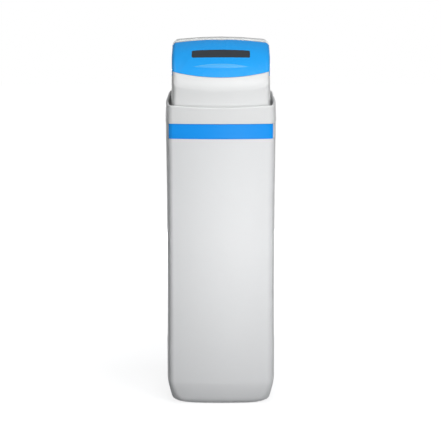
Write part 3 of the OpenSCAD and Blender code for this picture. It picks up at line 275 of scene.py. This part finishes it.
def mouldedRubber(name, tones, bloom):
    # EPDM seal rubber: dull charcoal with a dusty bloom
    material, place = startMaterial(name)
    first, second = [linear(tone) for tone in tones]
    dust = addNode(material, "ShaderNodeTexNoise", {
        "Vector": place, "Scale": perMetre(bloom), "Detail": 5.0})
    colour = addNode(material, "ShaderNodeMix", {0: dust.outputs["Fac"], 6: first, 7: second},
                     data_type="RGBA")
    sheen = addNode(material, "ShaderNodeMapRange", {
        "Value": dust.outputs["Fac"], "To Min": 0.62, "To Max": 0.8})
    shader = addNode(material, "ShaderNodeBsdfPrincipled", {
        "Base Color": colour.outputs[2], "Roughness": sheen.outputs[0], "IOR": 1.52})
    return closeMaterial(material, shader)


def woundFibreglass(name, tones, strand):
    # filament wound glass in blue gel: bands of strand cross at a shallow angle under a clear resin face
    windAngle, waveTurn = 35, 6.28
    material, place = startMaterial(name)
    first, second = [linear(tone) for tone in tones]
    bands = []
    for turn in (windAngle, -windAngle):
        tilt = addNode(material, "ShaderNodeMapping", {
            "Vector": place, "Rotation": (math.radians(turn), 0, 0)})
        wave = addNode(material, "ShaderNodeTexWave", {
            "Vector": tilt.outputs[0], "Scale": perMetre(strand) / waveTurn,
            "Distortion": 1.5, "Detail": 2.0},
            bands_direction="Z")
        bands.append(wave.outputs["Fac"])
    weave = addNode(material, "ShaderNodeMath", {0: bands[0], 1: bands[1]}, operation="MULTIPLY").outputs[0]
    colour = addNode(material, "ShaderNodeMix", {0: weave, 6: first, 7: second}, data_type="RGBA")
    sheen = addNode(material, "ShaderNodeMapRange", {"Value": weave, "To Min": 0.3, "To Max": 0.42})
    relief = addNode(material, "ShaderNodeBump", {
        "Height": weave, "Strength": 0.3, "Distance": metres(0.3)})
    shader = addNode(material, "ShaderNodeBsdfPrincipled", {
        "Base Color": colour.outputs[2], "Roughness": sheen.outputs[0], "Normal": relief.outputs[0],
        "IOR": 1.54,
        "Coat Weight": 0.4, "Coat Roughness": 0.15})
    return closeMaterial(material, shader)


def packedBeads(name, tones, bead):
    # ion exchange resin: amber beads, drawn larger than the real 0.6 mm so that they show
    material, place = startMaterial(name)
    gap, crown = [linear(tone) for tone in tones]
    beads = addNode(material, "ShaderNodeTexVoronoi", {"Vector": place, "Scale": perMetre(bead)})
    away = beads.outputs["Distance"]
    # painted light and shade: each bead is paler at its crown and darker towards the gaps between beads
    colour = addNode(material, "ShaderNodeMix", {0: away, 6: crown, 7: gap}, data_type="RGBA")
    sheen = addNode(material, "ShaderNodeMapRange", {"Value": away, "To Min": 0.25, "To Max": 0.5})
    relief = addNode(material, "ShaderNodeBump", {"Height": away, "Strength": 0.8, "Distance": metres(0.6)},
                     invert=True)
    shader = addNode(material, "ShaderNodeBsdfPrincipled", {
        "Base Color": colour.outputs[2], "Roughness": sheen.outputs[0], "Normal": relief.outputs[0],
        "IOR": 1.5})
    return closeMaterial(material, shader)


def smokedAcrylic(name, tones, haze):
    # tinted acrylic with a dark printed back: deep grey under a clear, nearly polished face
    material, place = startMaterial(name)
    first, second = [linear(tone) for tone in tones]
    mist = addNode(material, "ShaderNodeTexNoise", {
        "Vector": place, "Scale": perMetre(haze), "Detail": 3.0})
    colour = addNode(material, "ShaderNodeMix", {0: mist.outputs["Fac"], 6: first, 7: second},
                     data_type="RGBA")
    sheen = addNode(material, "ShaderNodeMapRange", {
        "Value": mist.outputs["Fac"], "To Min": 0.16, "To Max": 0.24})
    shader = addNode(material, "ShaderNodeBsdfPrincipled", {
        "Base Color": colour.outputs[2], "Roughness": sheen.outputs[0],
        "IOR": 1.49, "Specular IOR Level": 0.3})
    return closeMaterial(material, shader)


def naturalPlastic(name, tones, flow):
    # unfilled polypropylene or acetal: milky, lets some light in, with faint flow marks
    lightDepth = metres(4)
    material, place = startMaterial(name)
    first, second = [linear(tone) for tone in tones]
    marks = addNode(material, "ShaderNodeTexNoise", {
        "Vector": place, "Scale": perMetre(flow), "Detail": 4.0, "Distortion": 1.2})
    colour = addNode(material, "ShaderNodeMix", {0: marks.outputs["Fac"], 6: first, 7: second},
                     data_type="RGBA")
    sheen = addNode(material, "ShaderNodeMapRange", {
        "Value": marks.outputs["Fac"], "To Min": 0.34, "To Max": 0.46})
    shader = addNode(material, "ShaderNodeBsdfPrincipled", {
        "Base Color": colour.outputs[2], "Roughness": sheen.outputs[0], "IOR": 1.49,
        "Subsurface Weight": 0.12, "Subsurface Radius": (lightDepth,) * 3, "Subsurface Scale": 1.0})
    return closeMaterial(material, shader)


def circuitBoard(name, tones, track):
    # FR4 board: green mask with darker copper tracks in square runs
    material, place = startMaterial(name)
    first, second, copper = [linear(tone) for tone in tones]
    upright = addNode(material, "ShaderNodeMapping", {
        "Vector": place, "Rotation": (math.radians(90), 0, 0)})
    tracks = addNode(material, "ShaderNodeTexBrick", {
        "Vector": upright.outputs[0], "Color1": first, "Color2": second, "Mortar": copper,
        "Scale": perMetre(track), "Mortar Size": 0.03})
    sheen = addNode(material, "ShaderNodeMapRange", {
        "Value": tracks.outputs["Fac"], "To Min": 0.35, "To Max": 0.25})
    shader = addNode(material, "ShaderNodeBsdfPrincipled", {
        "Base Color": tracks.outputs["Color"], "Roughness": sheen.outputs[0], "IOR": 1.5})
    return closeMaterial(material, shader)


# texture sizes in mm: cloud, grain and depth of a moulded face, then each other finish's own mark
# painted highlight on the lid's finger ridge: lens length and width in mm, its place along y, and its paler
# tone
ridgeHighlightLens = {"length": 172, "width": 14, "y": -178, "tone": "72CCFF"}
finishes = {
    "whitePolyethylene": mouldedPlastic(
        "blowMouldedPolyethyleneSatinWhite", ("E9EAEB", "ECEDEE"),
        cloud=160, grain=1.6, depth=0.05, roughness=0.44, specular=0.34),
    "whiteAbs": mouldedPlastic(
        "mouldedAbsSatinWhite", ("E7E8E8", "EAEBEB"),
        cloud=120, grain=1.2, depth=0.04, roughness=0.36, specular=0.32),
    "blueAbs": mouldedPlastic(
        "mouldedAbsGlossBlue", ("149CFF", "18A0FF"),
        cloud=90, grain=1.4, depth=0.03, roughness=0.30, specular=0.20),
    # the lid's blue, carrying the painted highlight on its finger ridge
    "lidAbs": mouldedPlastic(
        "mouldedAbsGlossBlueRidgeHighlight", ("22A8FF", "26ACFF"),
        cloud=90, grain=1.4, depth=0.03, roughness=0.27, specular=0.24, highlightLens=ridgeHighlightLens),
    "greyAbs": mouldedPlastic(
        "mouldedAbsSatinGrey", ("5C6166", "62676C"),
        cloud=60, grain=1.2, depth=0.05, roughness=0.46, specular=0.4),
    "redAbs": mouldedPlastic(
        "mouldedAbsGlossRed", ("B5201A", "BE2820"),
        cloud=40, grain=1.4, depth=0.03, roughness=0.32, specular=0.5),
    "buttonSilicone": mouldedPlastic(
        "mouldedSiliconeGrey", ("C9CCCF", "D3D6D8"),
        cloud=20, grain=0.8, depth=0.03, roughness=0.55, specular=0.3),
    "smokedWindow": smokedAcrylic("tintedAcrylicPolished", ("383D43", "3E4349"), haze=30),
    "displayAcrylic": smokedAcrylic("tintedAcrylicDisplay", ("1A1E1F", "202425"), haze=30),
    "blackPpo": glassFilledPlastic("glassFilledPpoBlack", ("1C1D1F", "3A3C3F"), speck=1.5),
    "stainless": brushedMetal(
        "stainlessSteelTurned", ("B9BCC0", "CDD0D3"), line=0.8, roughness=0.3, axis="x"),
    "platedSteel": brushedMetal(
        "zincPlatedSteelDrawn", ("A4A8AC", "C2C6CA"), line=1.2, roughness=0.34, axis="y"),
    "brass": brushedMetal("brassHobbed", ("B79A54", "CDB26C"), line=0.8, roughness=0.3, axis="y"),
    "rubber": mouldedRubber("mouldedEpdmRubber", ("1B1B1C", "2A2A2B"), bloom=6),
    "fibreglass": woundFibreglass("filamentWoundFibreglassBlue", ("2F4766", "48658A"), strand=12),
    "resinBeads": packedBeads("ionExchangeResinBeads", ("7A4A14", "C98A35"), bead=2.0),
    "polypropylene": naturalPlastic("mouldedPolypropyleneNatural", ("DEDFDC", "EAEBE8"), flow=18),
    "acetal": naturalPlastic("machinedAcetalNatural", ("E4E4E0", "EFEFEC"), flow=18),
    "turbineBlue": naturalPlastic("mouldedPolypropyleneBlue", ("3E6FB0", "4A7CBE"), flow=18),
    "board": circuitBoard("fr4BoardGreen", ("1C5B33", "20633A", "123F22"), track=4.0),
}

# what each solid of the model is made of
madeOf = {
    "whitePolyethylene": ["cabinet"],
    "whiteAbs": ["collar", "hood", "trim_ring"],
    "blueAbs": ["trim_band"],
    "lidAbs": ["lid"],
    "smokedWindow": ["lid_window"],
    "stainless": ["hood_screws", "hinge_pins"],
    "rubber": ["cable_grommet", "tank_o_ring", "overflow_gasket"],
    "fibreglass": ["pressure_tank"],
    "blackPpo": ["tank_boot", "valve_body", "drive_bracket", "injector_cap", "drain_elbow", "brine_elbow",
                 "bypass_body", "inlet_connector", "outlet_connector", "brine_well_cap", "overflow_elbow",
                 "overflow_nut"],
    "resinBeads": ["resin_bed"],
    "polypropylene": ["riser_tube", "bottom_basket", "top_basket", "brine_well", "float_valve", "float_rod",
                      "float", "pickup_tube", "brine_tube", "salt_grid", "meter_spider"],
    "acetal": ["piston", "piston_retainer", "drive_gear", "seal_stack"],
    "platedSteel": ["drive_motor"],
    "brass": ["motor_pinion"],
    "greyAbs": ["valve_cover"],
    "displayAcrylic": ["display_lens"],
    "board": ["control_board"],
    "buttonSilicone": ["button_set", "button_up", "button_down", "button_regenerate"],
    "turbineBlue": ["meter_turbine"],
    "redAbs": ["inlet_handle", "outlet_handle"],
}
for finish, members in madeOf.items():
    for member in members:
        nodes[member].data.materials.clear()
        nodes[member].data.materials.append(finishes[finish])
unset = set(nodes) - {member for members in madeOf.values() for member in members}
print("finishes given, without one:", sorted(unset))


mergeDistance = metres(0.02)
flatAngle = math.radians(0.4)


def smoothShell(node, name, body, finish, angle):
    # the moulded shell without its facets: a merged copy, smooth across its curves and crisp at its edges
    bpy.ops.object.select_all(action="DESELECT")
    shell = nodes[node].copy()
    shell.data = nodes[node].data.copy()
    shell.name = name
    shell.parent = None
    scene.collection.objects.link(shell)
    shell.select_set(True)
    bpy.context.view_layer.objects.active = shell
    bpy.ops.mesh.customdata_custom_splitnormals_clear()
    bpy.ops.object.mode_set(mode="EDIT")
    bpy.ops.mesh.select_all(action="SELECT")
    bpy.ops.mesh.remove_doubles(threshold=mergeDistance)
    bpy.ops.mesh.mark_sharp(clear=True)
    bpy.ops.mesh.dissolve_limited(angle_limit=flatAngle, delimit={"NORMAL"})
    bpy.ops.object.mode_set(mode="OBJECT")
    bpy.ops.object.shade_smooth_by_angle(angle=math.radians(angle))
    weigh = shell.modifiers.new("weighNormals", "WEIGHTED_NORMAL")
    weigh.keep_sharp = True
    bpy.ops.object.modifier_apply(modifier=weigh.name)
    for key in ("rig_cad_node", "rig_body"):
        if key in shell:
            del shell[key]
    shell.data.materials.clear()
    shell.data.materials.append(finishes[finish])
    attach(shell, body)
    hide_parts(node)


# the angle in degrees above which an edge stays crisp
shellPlan = {
    "cabinet": {"name": "cabinetShell", "body": "housing", "finish": "whitePolyethylene", "angle": 32},
    "trim_band": {"name": "trimBandShell", "body": "housing", "finish": "blueAbs", "angle": 32},
    "trim_ring": {"name": "trimRingShell", "body": "housing", "finish": "whiteAbs", "angle": 32},
    "collar": {"name": "collarShell", "body": "housing", "finish": "whiteAbs", "angle": 38},
    "hood": {"name": "hoodShell", "body": "housing", "finish": "whiteAbs", "angle": 32},
    "lid": {"name": "lidShell", "body": "lid", "finish": "lidAbs", "angle": 32},
    "lid_window": {"name": "lidWindowPane", "body": "lid", "finish": "smokedWindow", "angle": 30},
}
for node, plan in shellPlan.items():
    smoothShell(node, plan["name"], plan["body"], plan["finish"], plan["angle"])
print("shells smoothed:", len(shellPlan))

scene.view_settings.view_transform = "Standard"
